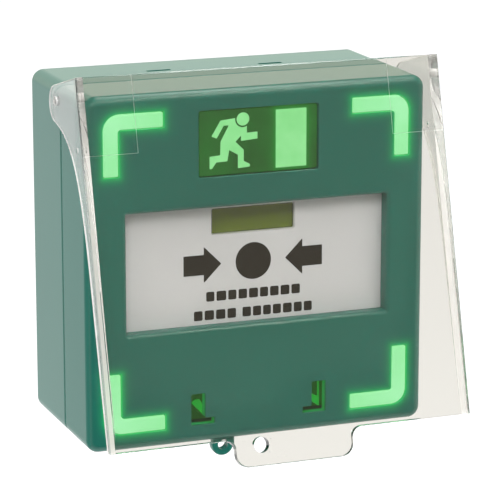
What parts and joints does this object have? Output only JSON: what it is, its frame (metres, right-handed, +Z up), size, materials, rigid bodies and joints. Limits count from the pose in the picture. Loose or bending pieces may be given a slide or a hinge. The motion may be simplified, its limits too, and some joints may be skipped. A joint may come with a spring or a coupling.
{
  "type": "emergency door release call point",
  "caption": "Square surface-mounted call point with a recessed press panel, lit sign window and corner brackets, reset-tool slots and a hinged clear cover with a sealing tab.",
  "frame": {"origin": "centre of the wall face of the back box", "axes": "+X right as seen from the front, +Y into the wall, +Z up; the front faces -Y"},
  "size_m": [0.092, 0.0687, 0.097],
  "materials": {
    "housing_green": "satin moulded plastic, teal green",
    "lit_lens": "translucent light guide, lit green",
    "sign_lens": "smooth tinted lens, dark green",
    "clear_cover": "clear polished polycarbonate",
    "panel_white": "fine satin, off-white",
    "window_clear": "clear, smooth",
    "flag_olive": "satin, olive",
    "alarm_yellow": "satin, yellow",
    "chassis_dark": "satin, dark green",
    "slider_green": "translucent, green",
    "spring_steel": "drawn wire",
    "circuit_board": "solder mask over glass laminate",
    "terminal_blue": "moulded, satin",
    "lamp": "clear lamp body",
    "screw_steel": "plated, machined",
    "switch_black": "moulded, satin",
    "plunger_red": "moulded, satin"
  },
  "bodies": {
    "case": {"back_box": "housing_green", "front_housing": "housing_green", "corner_lens_top_right": "lit_lens", "corner_lens_bottom_right": "lit_lens", "corner_lens_bottom_left": "lit_lens", "corner_lens_top_left": "lit_lens", "sign_lens": "sign_lens", "alarm_band": "alarm_yellow", "chassis": "chassis_dark", "reset_spring": "spring_steel", "panel_spring_left": "spring_steel", "panel_spring_right": "spring_steel", "top_lamp_board": "circuit_board", "lamp_board_left": "circuit_board", "lamp_board_right": "circuit_board", "main_board": "circuit_board", "terminal_block": "terminal_blue", "lamp_top_left": "lamp", "lamp_top_right": "lamp", "lamp_bottom_left": "lamp", "lamp_bottom_right": "lamp", "lamp_sign_left": "lamp", "lamp_sign_right": "lamp", "terminal_screw_1": "screw_steel", "terminal_screw_2": "screw_steel", "terminal_screw_3": "screw_steel", "terminal_screw_4": "screw_steel", "terminal_screw_5": "screw_steel", "terminal_screw_6": "screw_steel", "board_screw_1": "screw_steel", "board_screw_2": "screw_steel", "board_screw_3": "screw_steel", "board_screw_4": "screw_steel", "chassis_screw_bottom_left": "screw_steel", "chassis_screw_bottom_right": "screw_steel", "chassis_screw_top_left": "screw_steel", "chassis_screw_top_right": "screw_steel", "case_screw_left": "screw_steel", "case_screw_right": "screw_steel", "hinge_pin_left": "clear_cover", "hinge_pin_right": "clear_cover", "microswitch_left": "switch_black", "microswitch_right": "switch_black"},
    "cover": {"clear_cover": "clear_cover"},
    "panel": {"press_panel": "panel_white", "flag_window": "window_clear"},
    "flag": {"flag_shutter": "flag_olive"},
    "plunger_left": {"switch_plunger_left": "plunger_red"},
    "plunger_right": {"switch_plunger_right": "plunger_red"},
    "slider": {"reset_slider": "slider_green"}
  },
  "joints": [
    {"name": "cover_hinge", "type": "hinge", "parent": "case", "child": "cover", "pos_m": [0, -0.0278, 0.0405], "axis": [-1, 0, 0], "range_deg": [-14.8, 130]},
    {"name": "panel_press", "type": "slide", "parent": "case", "child": "panel", "axis": [0, 1, 0], "range_m": [0, 0.002], "deforming": ["panel_spring_left", "panel_spring_right"]},
    {"name": "flag_drop", "type": "slide", "parent": "panel", "child": "flag", "axis": [0, 0, -1], "range_m": [0, 0.0079]},
    {"name": "plunger_left_push", "type": "slide", "parent": "case", "child": "plunger_left", "axis": [0, 1, 0], "range_m": [0, 0.0017]},
    {"name": "plunger_right_push", "type": "slide", "parent": "case", "child": "plunger_right", "axis": [0, 1, 0], "range_m": [0, 0.0017]},
    {"name": "reset_lift", "type": "slide", "parent": "case", "child": "slider", "axis": [0, 0, 1], "range_m": [0, 0.003], "stiffness_N_per_m": 120, "springref_m": -0.002, "deforming": ["reset_spring"]}
  ],
  "couplings": [
    {"joint": "flag_drop", "follows": "panel_press", "ratio": 3.95},
    {"joint": "plunger_left_push", "follows": "panel_press", "ratio": 0.85},
    {"joint": "plunger_right_push", "follows": "panel_press", "ratio": 0.85}
  ]
}
